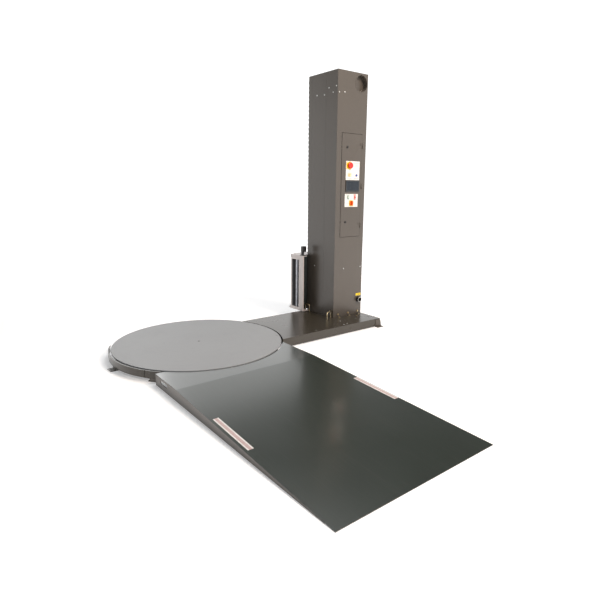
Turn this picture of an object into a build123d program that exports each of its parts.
"""Turntable pallet wrapper: a low turntable, a loading ramp and a mast with a film carriage.

The frame: origin on the floor under the middle of the turntable, +X towards the mast,
-Y towards the foot of the ramp, +Z up. Millimetres.
"""
from build123d import *
import os
from math import acos, atan2, cos, degrees, hypot, pi, radians, sin

os.makedirs("parts", exist_ok=True)

# ---------------------------------------------------------------- driving dimensions
# turntable
TABLE_R = 825.0
TABLE_TOP = 103.0
TABLE_T = 10.0
TABLE_UNDER = TABLE_TOP - TABLE_T
NOTCH_ANGLE = -23.0
NOTCH_LENGTH = 45.0
NOTCH_WIDTH = 6.0
# base
BASE_T = 8.0
BASE_R = 790.0
POST_R = 30.0
POST_TOP = 84.0
RUN_FIT = 0.05
# support wheels under the table
WHEEL_COUNT = 6
WHEEL_PATH_R = 700.0
WHEEL_R = 34.7
WHEEL_W = 30.0
AXLE_R = 6.0
AXLE_Z = TABLE_UNDER - 0.3 - WHEEL_R
# ring skirt
SKIRT_R = 850.0
SKIRT_LIP_R = 838.0
SKIRT_T = 3.0
SKIRT_BOTTOM = 30.0
SKIRT_TOP = 97.0
SKIRT_REAR_ARC = (29.0, 66.0)
SKIRT_FRONT_ARCS = ((152.0, 211.8), (212.2, 222.6))
# deck and chassis
DECK_TOP = 100.0
DECK_T = 4.0
DECK_ARC_R = 842.0
DECK_NEAR_Y = -440.0
DECK_FAR_Y = 400.0
DECK_END_X = 2140.0
DECK_HEM_Z = 8.0
# ramp
RAMP_X = (-678.0, 668.0)
RAMP_ARC_R = 840.0
RAMP_CORNER_Y = -586.0
RAMP_BEND_Y = -997.0
RAMP_TOE_Y = -2816.0
RAMP_TOP = 98.0
RAMP_TOE_TOP = 3.0
RAMP_T = 4.0
CHEEK_T = 5.0
SLOT_Y = (-823.0, -692.0)
SLOT_Z = 62.0
SLOT_H = 28.0
LUG_X = 300.0
LUG_Y = -850.0
# mast
MAST_X = (1690.0, 2140.0)
MAST_Y = (-110.0, 390.0)
MAST_TOP = 2850.0
SHEET = 3.0
SEAM_GAP = 1.0
SIDE_SEAM_1 = 84.0
SIDE_SEAM_2 = 332.0
CHAIN_SLOT_X = (1765.0, 1835.0)
CUP_X = 2040.0
CUP_Z = 2742.0
CUP_R = 90.0
CUP_DEPTH = 60.0
INLET_X = 2088.0
INLET_Z = 279.0
# control door
DOOR_X = (1767.0, 2076.0)
DOOR_Z = (1054.0, 2203.0)
DOOR_GAP = 4.0
DOOR_FACE_Y = MAST_Y[0] - SHEET
HINGE_X = 2082.0
HINGE_Y = -118.0
HINGE_Z = (1180.0, 1630.0, 2080.0)
KNUCKLE_R = 5.5
PLATE_T = 2.0
PLATE_FACE_Y = DOOR_FACE_Y - PLATE_T
UPPER_PLATE = (1832.0, 2043.0, 1698.0, 1906.0)
LOWER_PLATE = (1825.0, 2028.0, 1396.0, 1542.0)
DISPLAY = (1834.0, 2044.0, 1568.0, 1695.0)
ESTOP_XZ = (1887.0, 1857.0)
RESET_XZ = (1997.0, 1751.0)
LAMP_XZ = (1888.0, 1752.0)
START_XZ = (1874.0, 1504.0)
STOP_XZ = (1980.0, 1504.0)
SWITCH_XZ = (1925.0, 1438.0)
LOCKS_XZ = {"lock_upper": (1847.0, 2056.0), "lock_lower": (1841.0, 1224.0)}
BUTTON_R = 11.0
# table drive
DRIVE_X = 1800.0
CHAIN_Z = 48.0
CHAIN_H = 12.0
CHAIN_T = 8.0
SPROCKET_T = 8.0
TABLE_SPROCKET_R = 150.0
DRIVE_SPROCKET_R = 45.0
TOOTH_PITCH = 15.875
# lift drive
LIFT_X = 1800.0
LIFT_Y = 320.0
LIFT_R = 40.0
LIFT_Z = (200.0, 2700.0)
LIFT_SHAFT_R = 10.0
SHELF_Z = 2600.0
# guide rails on the far face of the mast
RAIL_X = ((1692.0, 1716.0), (1884.0, 1908.0))
RAIL_Z = (130.0, 2800.0)
RAIL_T = 6.0
RAIL_PITCH = 50.0
# film carriage, drawn at the bottom of its travel
CAR_X = (1562.0, 2060.0)
CAR_Z = (120.0, 803.0)
FACE_T = 6.0
FACE_Y = (316.0, 561.0)
WINDOW_Y = (400.0, 545.0)
WINDOW_Z = (150.0, 748.0)
FLANGE_X = 1576.0
CAR_PLATE_T = 8.0
TROLLEY_Y = (400.0, 412.0)
TROLLEY_END_X = 1580.0
TROLLEY_WEB = ((1568.0, 1640.0), (388.0, 400.0))
CAR_BACK_Y = 690.0
JOURNAL_R = 8.0
ROLLER_Z = (135.0, 750.0)
IDLER_XY = (1590.0, 471.0)
STRETCH_XY = ((1630.0, 567.0), (1722.0, 590.0))
STRETCH_R = 37.5
IDLER_R = 15.0
SPINDLE_XY = (1935.0, 560.0)
SPINDLE_R = 36.0


# ---------------------------------------------------------------- helpers
def block(x, y, z):
    """A box between two limits on each axis."""
    size = (x[1] - x[0], y[1] - y[0], z[1] - z[0])
    middle = ((x[0] + x[1]) / 2, (y[0] + y[1]) / 2, (z[0] + z[1]) / 2)
    return Pos(*middle) * Box(*size)


def post(x, y, z, r):
    """An upright cylinder between two heights."""
    return Pos(x, y, (z[0] + z[1]) / 2) * Cylinder(r, z[1] - z[0])


def rod_y(x, z, y, r):
    """A cylinder along Y between two limits."""
    return Pos(x, (y[0] + y[1]) / 2, z) * Rot(90, 0, 0) * Cylinder(r, y[1] - y[0])


def rod_x(y, z, x, r):
    """A cylinder along X between two limits."""
    return Pos((x[0] + x[1]) / 2, y, z) * Rot(0, 90, 0) * Cylinder(r, x[1] - x[0])


def plan_sheet(points, z):
    """An upright prism over a plan outline."""
    outline = make_face(Polyline(*points, close=True))
    return Pos(0, 0, z[0]) * extrude(outline, z[1] - z[0])


def side_profile(points, x):
    """A prism along X over an outline given as (y, z) points."""
    outline = make_face(Polyline(*[(0, y, z) for y, z in points], close=True))
    solid = extrude(outline, x[1] - x[0], dir=(1, 0, 0))
    return Pos(x[0], 0, 0) * solid


def save(shape, node):
    """Write one node, a single solid or a group of separate solids."""
    if isinstance(shape, list):
        shape = Compound(children=shape)
    export_step(shape, f"parts/{node}.step")


def sprocket(tip_r, bore_r, thickness):
    """A chain wheel about Z, its teeth cut as round gullets for the chain's rollers."""
    teeth = round(2 * pi * tip_r / TOOTH_PITCH)
    wheel = Cylinder(tip_r, thickness) - Cylinder(bore_r, thickness + 2)
    gullet_r = 0.32 * TOOTH_PITCH
    gullets = [Rot(0, 0, 360 * k / teeth) * Pos(tip_r, 0, 0) * Cylinder(gullet_r, thickness + 2)
               for k in range(teeth)]
    return wheel - gullets


def belt_outline(r_first, r_second, span):
    """Face inside two circles and their outer tangents, one at the origin, one along +X."""
    lean = acos((r_first - r_second) / span)
    c, s = cos(lean), sin(lean)
    loop = ThreePointArc((r_first * c, r_first * s), (-r_first, 0), (r_first * c, -r_first * s))
    loop += Line((r_first * c, -r_first * s), (span + r_second * c, -r_second * s))
    loop += ThreePointArc((span + r_second * c, -r_second * s), (span + r_second, 0),
                          (span + r_second * c, r_second * s))
    loop += Line((span + r_second * c, r_second * s), (r_first * c, r_first * s))
    return make_face(loop)


def chain_band(tip_first, tip_second, span, height):
    """The outer shape of a chain round two chain wheels, about Z."""
    inner_first = tip_first + 0.5
    inner_second = tip_second + 0.5
    outer = extrude(belt_outline(inner_first + CHAIN_T, inner_second + CHAIN_T, span), height)
    inner = extrude(belt_outline(inner_first, inner_second, span), height)
    return Pos(0, 0, -height / 2) * (outer - inner)


# ---------------------------------------------------------------- fasteners
SCREW_HEAD_R = 8.0
SCREW_HEAD_H = 3.5
SCREW_SHANK_R = 3.0
SCREW_SHANK_L = 14.0
SCREW_HOLE_R = 3.2
FRONT_SCREWS = [(1712, 2620), (1792, 2627), (1836, 681), (2107, 681)]
SIDE_SCREWS_NEAR = [(-88, 2683), (-36, 2625), (35, 2679)]
SIDE_SCREWS_FAR = [(110, 2617), (240, 2627), (249, 686)]
DECK_SCREWS = [(1192, -400), (1592, -406), (1655, -389), (1658, -267), (1894, -283), (2090, -300)]


def screw(vector_up):
    """A pan-head screw about Z, its head above the origin."""
    head = Pos(0, 0, SCREW_HEAD_H / 2) * Cylinder(SCREW_HEAD_R, SCREW_HEAD_H)
    head = fillet(head.edges().group_by(Axis.Z)[-1], 2.0)
    shank = Pos(0, 0, -SCREW_SHANK_L / 2) * Cylinder(SCREW_SHANK_R, SCREW_SHANK_L)
    drive = Pos(0, 0, SCREW_HEAD_H) * Box(8, 1.6, 2.4) + Pos(0, 0, SCREW_HEAD_H) * Box(1.6, 8, 2.4)
    return vector_up * (head + shank - drive)


def cover_screws():
    facing_front = [Pos(x, MAST_Y[0], z) * screw(Rot(90, 0, 0)) for x, z in FRONT_SCREWS]
    facing_side = [Pos(MAST_X[0], y, z) * screw(Rot(0, -90, 0))
                   for y, z in SIDE_SCREWS_NEAR + SIDE_SCREWS_FAR]
    on_deck = [Pos(x, y, DECK_TOP) * screw(Rot(0, 0, 0)) for x, y in DECK_SCREWS]
    return facing_front + facing_side + on_deck


def front_screw_holes():
    return [rod_y(x, z, (MAST_Y[0] - 1, MAST_Y[0] + SHEET + 1), SCREW_HOLE_R) for x, z in FRONT_SCREWS]


def side_screw_holes(places):
    return [rod_x(y, z, (MAST_X[0] - 1, MAST_X[0] + SHEET + 1), SCREW_HOLE_R) for y, z in places]


def hex_bolt(length):
    """An M12 hexagon bolt about Z with its washer, the washer's underside at the origin."""
    washer = Pos(0, 0, 1.25) * Cylinder(12, 2.5)
    head = Pos(0, 0, 2.5) * extrude(RegularPolygon(10.5, 6), 7.5)
    shank = Pos(0, 0, -length / 2) * Cylinder(6, length)
    return washer + head + shank


# bolts at the foot of the mast: one through its front wall, one through the deck before it
FOOT_BOLT_X = (1764.0, 1928.0, 2082.0)
FOOT_BOLT_Z = 132.0
FOOT_BOLT_Y = -138.0


def foot_bolts():
    on_wall = [Pos(x, MAST_Y[0], FOOT_BOLT_Z) * Rot(90, 0, 0) * hex_bolt(20) for x in FOOT_BOLT_X]
    on_deck = [Pos(x, FOOT_BOLT_Y, DECK_TOP) * hex_bolt(20) for x in FOOT_BOLT_X]
    return on_wall + on_deck


# ---------------------------------------------------------------- base, table and wheels
def base_plate():
    """Floor plate in the shape of a keyhole, with the table's pivot post welded on."""
    plate = post(0, 0, (0, BASE_T), BASE_R)
    plate += block((0, DECK_END_X - 20), (-300, 388), (0, BASE_T))
    for side in (-1, 1):
        x = side * LUG_X
        plate += block((x - 30, x + 30), (LUG_Y - 40, -700), (0, BASE_T))
        plate += post(x, LUG_Y, (0, 28), 6)
    plate += post(0, 0, (BASE_T, 20), 70)
    plate += post(0, 0, (BASE_T, POST_TOP), POST_R)
    return plate


def wheel_angles():
    return [30 + k * 360 / WHEEL_COUNT for k in range(WHEEL_COUNT)]


def wheel_bracket():
    """Forked bracket for one wheel, drawn at the origin with the axle along X, and its axle."""
    cheek_in = WHEEL_W / 2 + 2
    cheek_out = cheek_in + 6
    fork = block((-cheek_out, cheek_out), (-30, 30), (BASE_T, BASE_T + 8))
    for side in (-1, 1):
        x = sorted((side * cheek_in, side * cheek_out))
        fork += block(x, (-30, 30), (BASE_T, 78))
    fork -= rod_x(0, AXLE_Z, (-40, 40), AXLE_R + RUN_FIT)
    axle = rod_x(0, AXLE_Z, (-cheek_out, cheek_out), AXLE_R)
    for side in (-1, 1):
        axle += rod_x(0, AXLE_Z, sorted((side * cheek_out, side * (cheek_out + 5))), AXLE_R + 4)
    return [fork, axle]


def wheel_brackets():
    pieces = []
    for angle in wheel_angles():
        place = Rot(0, 0, angle) * Pos(WHEEL_PATH_R, 0, 0)
        pieces += [place * piece for piece in wheel_bracket()]
    return pieces


def wheel():
    """Support wheel about X with a chamfer round each side of its tread."""
    body = rod_x(0, AXLE_Z, (-WHEEL_W / 2, WHEEL_W / 2), WHEEL_R)
    body = chamfer(body.edges(), 2)
    return body - rod_x(0, AXLE_Z, (-40, 40), AXLE_R + RUN_FIT)


def table_plate():
    """Round steel plate with a softened rim, a centre bore and a slit for the lifting pin."""
    plate = post(0, 0, (TABLE_UNDER, TABLE_TOP), TABLE_R)
    plate = fillet(plate.edges().group_by(Axis.Z)[-1], 2.0)
    plate -= post(0, 0, (0, 200), 12)
    slit = block((TABLE_R - NOTCH_LENGTH, TABLE_R + 5), (-NOTCH_WIDTH / 2, NOTCH_WIDTH / 2), (0, 200))
    return plate - Rot(0, 0, NOTCH_ANGLE) * slit


def table_hub():
    """Hub with its ribs under the plate, the plug in the centre bore, and the chain wheel."""
    hub = post(0, 0, (26, TABLE_UNDER), 70)
    for k in range(8):
        rib = block((60, 640), (-5, 5), (74, TABLE_UNDER))
        hub += Rot(0, 0, 22.5 + 45 * k) * rib
    hub -= post(0, 0, (20, POST_TOP + 3), POST_R + RUN_FIT)
    plug = post(0, 0, (POST_TOP + 3, TABLE_TOP - 0.5), 11.9)
    wheel_disc = Pos(0, 0, CHAIN_Z) * sprocket(TABLE_SPROCKET_R, 70, SPROCKET_T)
    return [hub + plug, wheel_disc]


def ring_segment(arc):
    """A stretch of the ring skirt: upright wall with a narrow lip turned in at the top."""
    outline = [(SKIRT_LIP_R, SKIRT_TOP - SKIRT_T), (SKIRT_R - SKIRT_T, SKIRT_TOP - SKIRT_T),
               (SKIRT_R - SKIRT_T, SKIRT_BOTTOM), (SKIRT_R, SKIRT_BOTTOM),
               (SKIRT_R, SKIRT_TOP), (SKIRT_LIP_R, SKIRT_TOP)]
    section = make_face(Polyline(*[(r, 0, z) for r, z in outline], close=True))
    return Rot(0, 0, arc[0]) * revolve(section, Axis.Z, arc[1] - arc[0])


# ---------------------------------------------------------------- deck, chassis and anchors
def deck_plate():
    """Folded sheet between table and mast: flat top with a hem down three sides."""
    corner_x = 700.0
    top = block((corner_x, DECK_END_X), (DECK_NEAR_Y, DECK_FAR_Y), (DECK_TOP - DECK_T, DECK_TOP))
    hem_z = (DECK_HEM_Z, DECK_TOP)
    top += block((corner_x, DECK_END_X), (DECK_NEAR_Y, DECK_NEAR_Y + DECK_T), hem_z)
    top += block((corner_x, DECK_END_X), (DECK_FAR_Y - DECK_T, DECK_FAR_Y), hem_z)
    top += block((DECK_END_X - DECK_T, DECK_END_X), (DECK_NEAR_Y, DECK_FAR_Y), hem_z)
    top -= post(0, 0, (0, 200), DECK_ARC_R)
    top -= post(DRIVE_X, 0, (90, 110), 25)
    for x, y in DECK_SCREWS:
        top -= post(x, y, (90, 110), SCREW_HOLE_R)
    for x in FOOT_BOLT_X:
        top -= post(x, FOOT_BOLT_Y, (90, 110), 6.2)
    return top


RAIL_TUBE_Y = ((-185.0, -125.0), (326.0, 386.0))


def chassis_rails():
    """Two square tubes under the deck with three cross members below the chain."""
    rails = []
    for y in RAIL_TUBE_Y:
        tube = block((850, 2130), y, (BASE_T, DECK_TOP - DECK_T))
        tube -= block((849, 2131), (y[0] + 4, y[1] - 4), (BASE_T + 4, DECK_TOP - DECK_T - 4))
        for x in FOOT_BOLT_X:
            tube -= post(x, FOOT_BOLT_Y, (70, 110), 6.2)
        rails.append(tube)
    for x in ((900, 940), (1560, 1600), (2080, 2120)):
        rails.append(block(x, (RAIL_TUBE_Y[0][1], RAIL_TUBE_Y[1][0]), (BASE_T, 36)))
    return rails


ANCHOR_ANGLES = (60.0, 181.5)
ANCHOR_HOLE_R = 7.0
ANCHOR_TAB_R = 874.0
DECK_ANCHOR_X = 2124.0
DECK_FOOT_X = (2066.0, 2162.0)
DECK_ANCHOR_Y = 466.0


def skirt_bracket(reach):
    """Angle bracket from the floor plate to the inside of the ring skirt."""
    foot = block((BASE_R + 3, reach), (-45, 45), (0, 6))
    upright = block((840.5, 845.5), (-30, 30), (6, 90))
    return foot + upright


def anchor_brackets():
    pieces = []
    for angle in ANCHOR_ANGLES:
        bracket = skirt_bracket(892) - post(ANCHOR_TAB_R, 0, (-1, 8), ANCHOR_HOLE_R)
        pieces.append(Rot(0, 0, angle) * bracket)
    pieces.append(Rot(0, 0, 217) * skirt_bracket(846))
    for side, edge in ((-1, DECK_NEAR_Y), (1, DECK_FAR_Y)):
        outer = max(edge, edge + side * 6)
        foot = sorted((edge, edge + side * 46))
        leg = Polyline((DECK_FOOT_X[0], 0), (DECK_FOOT_X[1], 0), (DECK_END_X + 2, 84), (DECK_FOOT_X[0], 84),
                       close=True)
        bracket = Pos(0, outer, 0) * extrude(Plane.XZ * make_face(leg), 6)
        bracket += block(DECK_FOOT_X, foot, (0, 6))
        bracket -= post(DECK_ANCHOR_X, edge + side * 26, (-1, 8), ANCHOR_HOLE_R)
        pieces.append(bracket)
    return pieces


def eye(start, end):
    """Lifting eye: a round bar bent into an upside-down U, its feet on the deck."""
    bar_r = 7.0
    height = 85.0
    span = hypot(end[0] - start[0], end[1] - start[1])
    bend = 22.0
    path = FilletPolyline((0, 0, 0), (0, 0, height), (span, 0, height), (span, 0, 0), radius=bend)
    bar = sweep(Plane.XY * Circle(bar_r), path=path)
    turn = degrees(atan2(end[1] - start[1], end[0] - start[0]))
    return Pos(start[0], start[1], DECK_TOP) * Rot(0, 0, turn) * bar


EYES = (((1572.0, -136.0), (1680.0, -75.0)), ((1662.0, 386.0), (1671.0, 318.0)))


# ---------------------------------------------------------------- ramp
def ramp_underside():
    """Height of the sheet's underside on the flat, and where the slope's underside meets the floor."""
    fall = (RAMP_TOP - RAMP_TOE_TOP) / (RAMP_BEND_Y - RAMP_TOE_Y)
    under = RAMP_TOP - RAMP_T
    heel_y = RAMP_BEND_Y - under / fall
    return under, heel_y


def ramp_deck():
    under, heel_y = ramp_underside()
    sheet = side_profile([(-300, RAMP_TOP), (RAMP_BEND_Y, RAMP_TOP), (RAMP_TOE_Y, RAMP_TOE_TOP),
                          (RAMP_TOE_Y, 0), (heel_y, 0), (RAMP_BEND_Y, under), (-300, under)], RAMP_X)
    sheet -= post(0, 0, (0, 200), RAMP_ARC_R)
    sheet -= block((RAMP_X[0] - 1, -500), (RAMP_CORNER_Y, 0), (0, 200))
    return sheet - block((500, RAMP_X[1] + 1), (-505, 0), (0, 200))


def web(x, start_y, end_y):
    """An upright web under the ramp's sheet, from the floor to its underside."""
    under, heel_y = ramp_underside()
    fall = under / (RAMP_BEND_Y - heel_y)
    end_z = under - fall * (RAMP_BEND_Y - end_y)
    return side_profile([(start_y, 0), (start_y, under), (RAMP_BEND_Y, under), (end_y, end_z), (end_y, 0)], x)


def ramp_cheeks():
    """Outer webs with an oblong hand slot each."""
    under, heel_y = ramp_underside()
    left = web((RAMP_X[0], RAMP_X[0] + CHEEK_T), RAMP_CORNER_Y, heel_y + 60)
    right = web((RAMP_X[1] - CHEEK_T, RAMP_X[1]), -512, heel_y + 60)
    slot = block((-800, 800), (SLOT_Y[0] + SLOT_H / 2, SLOT_Y[1] - SLOT_H / 2),
                 (SLOT_Z - SLOT_H / 2, SLOT_Z + SLOT_H / 2))
    for y in (SLOT_Y[0] + SLOT_H / 2, SLOT_Y[1] - SLOT_H / 2):
        slot += rod_x(y, SLOT_Z, (-800, 800), SLOT_H / 2)
    return [left - slot, right - slot]


def ramp_ribs():
    """Inner webs, the cross member and the two lugs that drop over the pins of the base."""
    cross = block((RAMP_X[0] + CHEEK_T, RAMP_X[1] - CHEEK_T), (-915, -910), (0, RAMP_TOP - RAMP_T))
    for x in (-450, -150, 140, 440):
        cross += web((x - 2.5, x + 2.5), -910, -2700)
    for side in (-1, 1):
        x = side * LUG_X
        lug = block((x - 28, x + 28), (-910, LUG_Y + 22), (BASE_T + 0.5, BASE_T + 6.5))
        cross += lug - post(x, LUG_Y, (0, 40), 6.6)
    return cross


# ---------------------------------------------------------------- mast shell
def mast_base_plate():
    """Foot plate inside the mast, and the pedestal bearings of the lower lift sprocket."""
    plate = block((MAST_X[0] + 4, MAST_X[1] - 4), (MAST_Y[0] + 4, MAST_Y[1] - 4), (DECK_TOP, DECK_TOP + 12))
    plate -= post(DRIVE_X, 0, (90, 120), 25)
    plate -= block((CHAIN_SLOT_X[0] - 6, CHAIN_SLOT_X[1] + 6), (MAST_Y[1] - 34, MAST_Y[1]), (90, 120))
    front = block((MAST_X[0] + 4, MAST_X[1] - 4), (MAST_Y[0] + 3, MAST_Y[0] + 11), (DECK_TOP, 160))
    for x in FOOT_BOLT_X:
        front -= rod_y(x, FOOT_BOLT_Z, (-120, -80), 6.2)
    plate += front
    for x in (LIFT_X - 30, LIFT_X + 22):
        plate += block((x, x + 8), (LIFT_Y - 20, LIFT_Y + 20), (DECK_TOP + 12, LIFT_Z[0] + 25))
    return plate - rod_x(LIFT_Y, LIFT_Z[0], (LIFT_X - 60, LIFT_X + 60), LIFT_SHAFT_R + RUN_FIT)


def mast_front_cover():
    """Front sheet with the control door's opening, the cup's hole and the inlet's hole."""
    sheet = block(MAST_X, (MAST_Y[0], MAST_Y[0] + SHEET), (DECK_TOP, MAST_TOP - SHEET))
    sheet -= block((DOOR_X[0] - DOOR_GAP, DOOR_X[1] + DOOR_GAP), (-120, -100),
                   (DOOR_Z[0] - DOOR_GAP, DOOR_Z[1] + DOOR_GAP))
    sheet -= rod_y(CUP_X, CUP_Z, (-120, -100), CUP_R + 0.2)
    sheet -= rod_y(INLET_X, INLET_Z, (-120, -100), 30)
    for x in FOOT_BOLT_X:
        sheet -= rod_y(x, FOOT_BOLT_Z, (-120, -100), 6.2)
    return sheet - front_screw_holes()


def mast_side_cover(y, screws):
    sheet = block((MAST_X[0], MAST_X[0] + SHEET), y, (DECK_TOP, MAST_TOP - SHEET))
    return sheet - side_screw_holes(screws)


def mast_guide_post():
    """Folded corner post at the far side, which carries the first guide rail."""
    z = (DECK_TOP, MAST_TOP - SHEET)
    skin = block((MAST_X[0], MAST_X[0] + SHEET), (SIDE_SEAM_2 + SEAM_GAP / 2, MAST_Y[1]), z)
    skin += block((MAST_X[0], CHAIN_SLOT_X[0]), (MAST_Y[1] - SHEET, MAST_Y[1]), z)
    return skin + block((CHAIN_SLOT_X[0] - SHEET, CHAIN_SLOT_X[0]), (MAST_Y[1] - 30, MAST_Y[1]), z)


def mast_far_cover():
    """Far sheet beyond the chain slot, folded in at the slot's edge."""
    z = (DECK_TOP, MAST_TOP - SHEET)
    skin = block((CHAIN_SLOT_X[1], MAST_X[1] - SHEET), (MAST_Y[1] - SHEET, MAST_Y[1]), z)
    return skin + block((CHAIN_SLOT_X[1], CHAIN_SLOT_X[1] + SHEET), (MAST_Y[1] - 30, MAST_Y[1]), z)


def mast_top_cap():
    """Lid with a lip that sits inside the mast's walls."""
    lid = block(MAST_X, MAST_Y, (MAST_TOP - SHEET, MAST_TOP))
    outer = block((MAST_X[0] + 4, MAST_X[1] - 4), (MAST_Y[0] + 4, MAST_Y[1] - 34),
                  (MAST_TOP - 18, MAST_TOP - SHEET))
    inner = block((MAST_X[0] + 7, MAST_X[1] - 7), (MAST_Y[0] + 7, MAST_Y[1] - 37),
                  (MAST_TOP - 19, MAST_TOP - SHEET))
    return lid + (outer - inner)


def recess_cup():
    """Round recess in the front sheet: a cup with a narrow rim on the outside."""
    rim_y = (MAST_Y[0] - 2, MAST_Y[0])
    cup = rod_y(CUP_X, CUP_Z, rim_y, CUP_R + 4) + rod_y(CUP_X, CUP_Z, (MAST_Y[0], MAST_Y[0] + CUP_DEPTH), CUP_R)
    return cup - rod_y(CUP_X, CUP_Z, (MAST_Y[0] - 3, MAST_Y[0] + CUP_DEPTH - 3), CUP_R - 3)


def power_inlet():
    """Round appliance inlet for the supply lead, low on the front sheet."""
    flange = rod_y(INLET_X, INLET_Z, (MAST_Y[0] - 4, MAST_Y[0]), 36)
    body = rod_y(INLET_X, INLET_Z, (MAST_Y[0] - 34, MAST_Y[0] + 50), 29.5)
    socket = rod_y(INLET_X, INLET_Z, (MAST_Y[0] - 35, MAST_Y[0] + 10), 25)
    pins = [rod_y(INLET_X + dx, INLET_Z + dz, (MAST_Y[0] - 20, MAST_Y[0] + 12), 3)
            for dx, dz in ((0, 13), (13, 0), (-13, 0), (0, -13), (0, 0))]
    return flange + body - socket + pins


def guide_rail(x, notched):
    """Flat bar on the far face of the mast, the first one with teeth along its free edge."""
    rail = block(x, (MAST_Y[1], MAST_Y[1] + RAIL_T), RAIL_Z)
    count = int((RAIL_Z[1] - RAIL_Z[0]) / RAIL_PITCH)
    if notched:
        z_first = RAIL_Z[0] + RAIL_PITCH / 2
        notches = [block((x[0] - 1, x[0] + 8), (MAST_Y[1] - 1, MAST_Y[1] + RAIL_T + 1),
                         (z_first + k * RAIL_PITCH - 12, z_first + k * RAIL_PITCH + 12))
                   for k in range(count)]
        rail -= notches
    return rail


# ---------------------------------------------------------------- drives
def table_motor():
    """Upright gear motor of the table: flange, gear case, motor and terminal box."""
    floor_z = DECK_TOP + 12
    case = post(DRIVE_X, 0, (floor_z, floor_z + 10), 75)
    case += block((DRIVE_X - 70, DRIVE_X + 70), (-70, 70), (floor_z + 10, 262))
    case += post(DRIVE_X, 0, (262, 480), 64)
    case += block((DRIVE_X + 55, DRIVE_X + 95), (-45, 45), (330, 420))
    return case - post(DRIVE_X, 0, (100, 182), 12.5 + RUN_FIT)


def drive_sprocket():
    """Small chain wheel of the table drive on its shaft."""
    wheel_disc = Pos(DRIVE_X, 0, CHAIN_Z) * sprocket(DRIVE_SPROCKET_R, 5, SPROCKET_T)
    return wheel_disc + post(DRIVE_X, 0, (38, 60), 22) + post(DRIVE_X, 0, (38, 180), 12.5)


def lift_sprocket(z, reach):
    """Chain wheel of the lift on a shaft along X."""
    disc = Pos(LIFT_X, LIFT_Y, z) * Rot(0, 90, 0) * sprocket(LIFT_R, 5, SPROCKET_T)
    disc += rod_x(LIFT_Y, z, (LIFT_X - 14, LIFT_X + 14), 18)
    return disc + rod_x(LIFT_Y, z, (LIFT_X - 36, LIFT_X + reach), LIFT_SHAFT_R)


def lift_chain():
    loop = chain_band(LIFT_R, LIFT_R, LIFT_Z[1] - LIFT_Z[0], CHAIN_H)
    return Pos(LIFT_X, LIFT_Y, LIFT_Z[0]) * Rot(0, -90, 0) * loop


def lift_motor():
    """Shelf with the upper bearings and the gear motor of the lift."""
    shelf = block((MAST_X[0] + 4, MAST_X[1] - 4), (180, MAST_Y[1] - 34), (SHELF_Z, SHELF_Z + 8))
    shelf += block((CHAIN_SLOT_X[0] + 1, CHAIN_SLOT_X[1] - 1), (180, MAST_Y[1] - 1), (SHELF_Z, SHELF_Z + 8))
    shelf -= block((LIFT_X - 12, LIFT_X + 12), (LIFT_Y - 56, LIFT_Y + 56), (SHELF_Z - 1, SHELF_Z + 9))
    for x in (LIFT_X - 30, LIFT_X + 22):
        shelf += block((x, x + 8), (LIFT_Y - 18, LIFT_Y + 18), (SHELF_Z + 8, LIFT_Z[1] + 25))
    shelf -= rod_x(LIFT_Y, LIFT_Z[1], (LIFT_X - 60, LIFT_X + 60), LIFT_SHAFT_R + RUN_FIT)
    case = block((LIFT_X + 45, LIFT_X + 165), (LIFT_Y - 70, LIFT_Y + 35), (SHELF_Z + 8, LIFT_Z[1] + 60))
    case += rod_x(LIFT_Y - 20, LIFT_Z[1], (LIFT_X + 165, LIFT_X + 325), 52)
    case -= rod_x(LIFT_Y, LIFT_Z[1], (LIFT_X + 44, LIFT_X + 112), LIFT_SHAFT_R + RUN_FIT)
    return [shelf, case]


def electrics_panel():
    """Mounting sheet behind the door with its drives, contactors, relays and terminals."""
    sheet = block((1725, 2105), (30, 33), (1080, 2180))
    modules = [block((1760, 1860), (-60, 30), (1880, 2120)), block((1900, 2000), (-60, 30), (1880, 2120)),
               block((1745, 2085), (0, 30), (1820, 1850)), block((1745, 2085), (0, 30), (1560, 1590)),
               block((1745, 2085), (-5, 30), (1130, 1160)), block((1960, 2070), (-40, 30), (1630, 1760))]
    modules += [block((1760 + 50 * k, 1805 + 50 * k), (-35, 30), (1660, 1740)) for k in range(4)]
    modules += [block((1755 + 19 * k, 1772 + 19 * k), (-30, 30), (1380, 1460)) for k in range(16)]
    posts = [rod_y(x, z, (33, 120), 8) for x in (1745, 2085) for z in (1100, 2160)]
    return [sheet] + modules + posts


# ---------------------------------------------------------------- control door and its controls
def door_holes(y):
    """Holes for the stems of the push buttons."""
    places = (ESTOP_XZ, RESET_XZ, START_XZ, STOP_XZ)
    return [rod_y(x, z, y, BUTTON_R + 0.4) for x, z in places]


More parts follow.
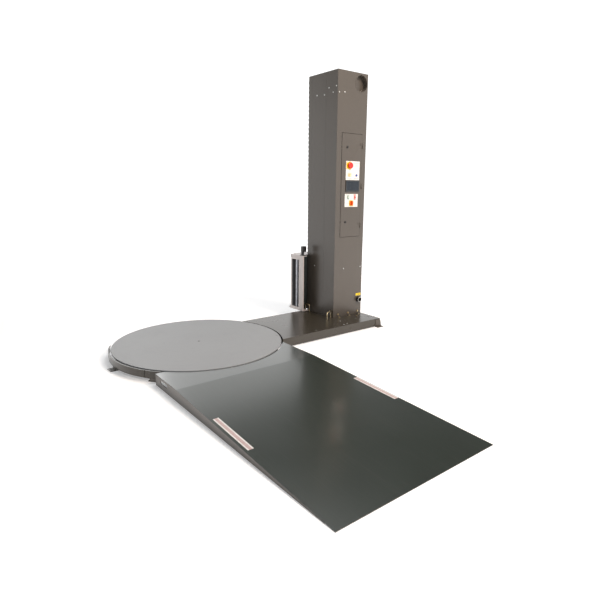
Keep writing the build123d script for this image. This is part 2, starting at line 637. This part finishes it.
def control_door():
    """Door sheet with a folded rim on three sides and its halves of the hinges."""
    face = (DOOR_FACE_Y, DOOR_FACE_Y + SHEET)
    rim = (DOOR_FACE_Y + SHEET, -90.0)
    door = block(DOOR_X, face, DOOR_Z)
    door += block((DOOR_X[1] - 7, DOOR_X[1] - 4), rim, (DOOR_Z[0] + 4, DOOR_Z[1] - 4))
    door += block((DOOR_X[0] + 4, DOOR_X[1] - 4), rim, (DOOR_Z[0] + 4, DOOR_Z[0] + 7))
    door += block((DOOR_X[0] + 4, DOOR_X[1] - 4), rim, (DOOR_Z[1] - 7, DOOR_Z[1] - 4))
    for z in HINGE_Z:
        door += block((2048, HINGE_X), (DOOR_FACE_Y - 3, DOOR_FACE_Y), (z + 0.5, z + 30))
        door += block((2070, HINGE_X), (HINGE_Y - 1, DOOR_FACE_Y), (z + 0.5, z + 30))
        door += post(HINGE_X, HINGE_Y, (z + 0.5, z + 30), KNUCKLE_R)
        door -= post(HINGE_X, HINGE_Y, (z, z + 31), 3 + RUN_FIT)
    for place in LOCKS_XZ.values():
        door -= rod_y(*place, (-130, -90), 6 + RUN_FIT)
    door -= rod_y(*SWITCH_XZ, (-130, -100), 6 + RUN_FIT)
    return door - door_holes((-130, -100))


def door_hinges():
    """Fixed halves of the three lift-off hinges, each with its pin."""
    pieces = []
    for z in HINGE_Z:
        half = block((HINGE_X + 2, HINGE_X + 30), (MAST_Y[0] - 3, MAST_Y[0]), (z - 30, z - 0.5))
        half += block((HINGE_X, HINGE_X + 10), (HINGE_Y - 1, MAST_Y[0] - 1), (z - 30, z - 0.5))
        half += post(HINGE_X, HINGE_Y, (z - 30, z - 0.5), KNUCKLE_R)
        pieces.append(half + post(HINGE_X, HINGE_Y, (z - 1, z + 29), 3))
    return pieces


def bezel(place):
    x, z = place
    return rod_y(x, z, (PLATE_FACE_Y - 5, PLATE_FACE_Y), 15) - rod_y(x, z, (-130, -110), BUTTON_R + 0.4)


def legend_plates():
    """Two plates on the door, the bezels of the buttons, the lamp, and the switch's square plate."""
    holes = door_holes((-130, -100))
    face = (PLATE_FACE_Y, DOOR_FACE_Y)
    upper = block(UPPER_PLATE[:2], face, UPPER_PLATE[2:]) - holes
    lower = block(LOWER_PLATE[:2], face, LOWER_PLATE[2:]) - holes
    lower -= rod_y(*SWITCH_XZ, (-130, -100), 6.5)
    estop_ring = rod_y(*ESTOP_XZ, (PLATE_FACE_Y - 2, PLATE_FACE_Y), 43)
    estop_ring -= rod_y(*ESTOP_XZ, (-130, -110), BUTTON_R + 0.4)
    switch_plate = block((SWITCH_XZ[0] - 32, SWITCH_XZ[0] + 32), (PLATE_FACE_Y - 2, PLATE_FACE_Y),
                         (SWITCH_XZ[1] - 32, SWITCH_XZ[1] + 32))
    switch_plate -= rod_y(*SWITCH_XZ, (-130, -110), 6.5)
    lamp = rod_y(*LAMP_XZ, (PLATE_FACE_Y - 5, PLATE_FACE_Y), 15)
    lamp += rod_y(*LAMP_XZ, (PLATE_FACE_Y - 11, PLATE_FACE_Y - 5), BUTTON_R)
    return [upper, lower, estop_ring, switch_plate, lamp] + [bezel(p) for p in (RESET_XZ, START_XZ, STOP_XZ)]


def display_panel():
    """Operator display: shallow housing with a recessed screen."""
    x, z = DISPLAY[:2], DISPLAY[2:]
    housing = block(x, (DOOR_FACE_Y - 8, DOOR_FACE_Y), z)
    housing = fillet(housing.edges().filter_by(Axis.Y), 6)
    return housing - block((x[0] + 14, x[1] - 14), (DOOR_FACE_Y - 9, DOOR_FACE_Y - 6.5), (z[0] + 14, z[1] - 14))


def push_button(place):
    x, z = place
    cap = rod_y(x, z, (PLATE_FACE_Y - 8, PLATE_FACE_Y + 20), BUTTON_R)
    return fillet(cap.edges().group_by(Axis.Y)[0], 1.2)


def estop_button():
    x, z = ESTOP_XZ
    head = rod_y(x, z, (PLATE_FACE_Y - 28, PLATE_FACE_Y - 10), 34)
    head = fillet(head.edges().group_by(Axis.Y)[0], 6)
    return head + rod_y(x, z, (PLATE_FACE_Y - 10, PLATE_FACE_Y + 20), BUTTON_R)


def main_switch():
    """Rotary main switch: round base, grip bar and spindle."""
    x, z = SWITCH_XZ
    knob = rod_y(x, z, (PLATE_FACE_Y - 12, PLATE_FACE_Y - 2.5), 26)
    knob += block((x - 7, x + 7), (PLATE_FACE_Y - 28, PLATE_FACE_Y - 12), (z - 25, z + 25))
    return knob + rod_y(x, z, (PLATE_FACE_Y - 3, PLATE_FACE_Y + 20), 6)


def door_lock(place):
    """Quarter-turn lock: round head, spindle and the cam behind the door."""
    x, z = place
    lock = rod_y(x, z, (DOOR_FACE_Y - 6, DOOR_FACE_Y - 0.3), 13)
    lock -= block((x - 2, x + 2), (DOOR_FACE_Y - 7, DOOR_FACE_Y - 3), (z - 9, z + 9))
    lock += rod_y(x, z, (DOOR_FACE_Y - 1, -96), 6)
    return lock + block((DOOR_X[0] - 1.5, x + 9), (-101, -97), (z - 9, z + 9))


# ---------------------------------------------------------------- film carriage
def carriage_frame():
    """Face frame with its folded near edge, and the bottom and top plates that hold the rollers."""
    face = block((CAR_X[0], CAR_X[0] + FACE_T), FACE_Y, CAR_Z)
    face -= block((CAR_X[0] - 1, CAR_X[0] + FACE_T + 1), WINDOW_Y, WINDOW_Z)
    flange = block((CAR_X[0] + FACE_T, FLANGE_X), (FACE_Y[0], FACE_Y[0] + SHEET), CAR_Z)
    bottom = plan_sheet([(CAR_X[0], FACE_Y[0]), (1650, FACE_Y[0]), (1650, TROLLEY_Y[1]),
                         (CAR_X[1], TROLLEY_Y[1]), (CAR_X[1], CAR_BACK_Y), (1640, CAR_BACK_Y),
                         (CAR_X[0], 600)], (CAR_Z[0] - CAR_PLATE_T, CAR_Z[0]))
    top = plan_sheet([(CAR_X[0] + FACE_T, FACE_Y[0] + SHEET), (1625, FACE_Y[0] + SHEET), (1625, TROLLEY_WEB[1][0]),
                      (CAR_X[0] + FACE_T, TROLLEY_WEB[1][0])], (CAR_Z[1] - CAR_PLATE_T, CAR_Z[1]))
    top += plan_sheet([(CAR_X[0] + FACE_T, TROLLEY_Y[1]), (1860, TROLLEY_Y[1]), (1860, 640), (1680, 640),
                       (CAR_X[0] + FACE_T, FACE_Y[1])], (CAR_Z[1] - CAR_PLATE_T, CAR_Z[1]))
    for place in (IDLER_XY,) + STRETCH_XY + (SPINDLE_XY,):
        bottom -= post(*place, (100, 130), JOURNAL_R + RUN_FIT)
        top -= post(*place, (790, 810), JOURNAL_R + RUN_FIT)
    return [face + flange, bottom, top]


def trolley_plate():
    """Back plate of the carriage with the clamp that grips the lift chain."""
    plate = block((TROLLEY_END_X, CAR_X[1]), TROLLEY_Y, CAR_Z) + block(*TROLLEY_WEB, CAR_Z)
    return plate + block((LIFT_X - 15, LIFT_X + 15), (369.5, TROLLEY_Y[0]), (430, 490))


def slide_blocks():
    """Plastic blocks on the trolley that run along the facing edges of the two rails."""
    blocks = []
    for z in ((150, 250), (660, 760)):
        blocks.append(block((RAIL_X[0][1] + 0.4, RAIL_X[0][1] + 26), (391, TROLLEY_Y[0]), z))
        blocks.append(block((RAIL_X[1][0] - 26, RAIL_X[1][0] - 0.4), (391, TROLLEY_Y[0]), z))
    return blocks


def roller(place, r, z_top):
    """Upright roller with a journal at each end, its body clear of the bottom plate."""
    barrel = chamfer(post(*place, ROLLER_Z, r).edges(), 1.5)
    return barrel + post(*place, (CAR_Z[0] - CAR_PLATE_T, z_top), JOURNAL_R)


def stretch_motor():
    """Gear case under the top plate, round the roller journals, with the motor hung from it."""
    gear_case = block((1612, 1835), (430, 636), (757, CAR_Z[1] - CAR_PLATE_T))
    gear_case -= block((1600, 1706), (400, 515), (700, 900))
    gear_case += post(1785, 472, (480, 757), 38)
    for place in STRETCH_XY:
        gear_case -= post(*place, (750, 800), JOURNAL_R + RUN_FIT)
    return gear_case


def photocell_housing():
    """Sensor housing on top of the post, which finds the top of the load."""
    foot = block((1570, 1610), (326, 386), (CAR_Z[1], CAR_Z[1] + 10))
    neck = block((1574, 1600), (346, 371), (CAR_Z[1] + 10, 848))
    head = block((1568, 1622), (326, 371), (848, 918))
    return foot + neck + fillet(head.edges().filter_by(Axis.Z), 4)


def film_spindle():
    """Turning spindle for the film core: base disc, core post with a chamfer, and journal."""
    disc = post(*SPINDLE_XY, (CAR_Z[0] + 2, CAR_Z[0] + 12), 62)
    core = post(*SPINDLE_XY, (CAR_Z[0] + 12, 640), SPINDLE_R)
    core = chamfer(core.edges().group_by(Axis.Z)[-1], 5)
    return disc + core + post(*SPINDLE_XY, (CAR_Z[0] - CAR_PLATE_T, CAR_Z[0] + 2), JOURNAL_R)


# ---------------------------------------------------------------- write every node
save(base_plate(), "base_plate")
save(wheel_brackets(), "wheel_brackets")
for number, angle in enumerate(wheel_angles(), start=1):
    save(Rot(0, 0, angle) * Pos(WHEEL_PATH_R, 0, 0) * wheel(), f"wheel_{number}")
save(table_plate(), "table_plate")
save(table_hub(), "table_hub")
save(ring_segment(SKIRT_REAR_ARC), "ring_skirt_rear")
save([ring_segment(arc) for arc in SKIRT_FRONT_ARCS], "ring_skirt_front")
save(deck_plate(), "deck_plate")
save(chassis_rails(), "chassis_rails")
save(anchor_brackets(), "anchor_brackets")
save([eye(*ends) for ends in EYES], "lifting_eyes")
save(cover_screws(), "cover_screws")
save(foot_bolts(), "foot_bolts")

save(ramp_deck(), "ramp_deck")
save(ramp_cheeks(), "ramp_cheeks")
save(ramp_ribs(), "ramp_ribs")

save(mast_base_plate(), "mast_base_plate")
save(mast_front_cover(), "mast_front_cover")
save(mast_side_cover((MAST_Y[0] + SHEET, SIDE_SEAM_1 - SEAM_GAP / 2), SIDE_SCREWS_NEAR), "mast_side_cover_near")
save(mast_side_cover((SIDE_SEAM_1 + SEAM_GAP / 2, SIDE_SEAM_2 - SEAM_GAP / 2), SIDE_SCREWS_FAR),
     "mast_side_cover_far")
save(mast_guide_post(), "mast_guide_post")
save(mast_far_cover(), "mast_far_cover")
save(block((MAST_X[1] - SHEET, MAST_X[1]), (MAST_Y[0] + SHEET, MAST_Y[1]), (DECK_TOP, MAST_TOP - SHEET)),
     "mast_back_cover")
save(mast_top_cap(), "mast_top_cap")
save(recess_cup(), "recess_cup")
save(power_inlet(), "power_inlet")
save([guide_rail(RAIL_X[0], True), guide_rail(RAIL_X[1], False)], "guide_rails")

save(table_motor(), "table_motor")
save(Pos(0, 0, CHAIN_Z) * chain_band(TABLE_SPROCKET_R, DRIVE_SPROCKET_R, DRIVE_X, CHAIN_H), "drive_chain")
save(drive_sprocket(), "drive_sprocket")
save(lift_motor(), "lift_motor")
save(lift_chain(), "lift_chain")
save(lift_sprocket(LIFT_Z[0], 36), "lift_sprocket_bottom")
save(lift_sprocket(LIFT_Z[1], 110), "lift_sprocket_top")
save(electrics_panel(), "electrics_panel")

save(control_door(), "control_door")
save(door_hinges(), "door_hinges")
save(legend_plates(), "legend_plates")
save(display_panel(), "display_panel")
save(estop_button(), "estop_button")
save(push_button(RESET_XZ), "reset_button")
save(push_button(START_XZ), "start_button")
save(push_button(STOP_XZ), "stop_button")
save(main_switch(), "main_switch")
for name, place in LOCKS_XZ.items():
    save(door_lock(place), name)

save(carriage_frame(), "carriage_frame")
save(trolley_plate(), "trolley_plate")
save(slide_blocks(), "slide_blocks")
save(stretch_motor(), "stretch_motor")
save(photocell_housing(), "photocell_housing")
for number, place in enumerate(STRETCH_XY, start=1):
    save(roller(place, STRETCH_R, CAR_Z[1] - 1), f"stretch_roller_{number}")
save(roller(IDLER_XY, IDLER_R, CAR_Z[1] - 1), "idler_roller")
save(film_spindle(), "film_spindle")
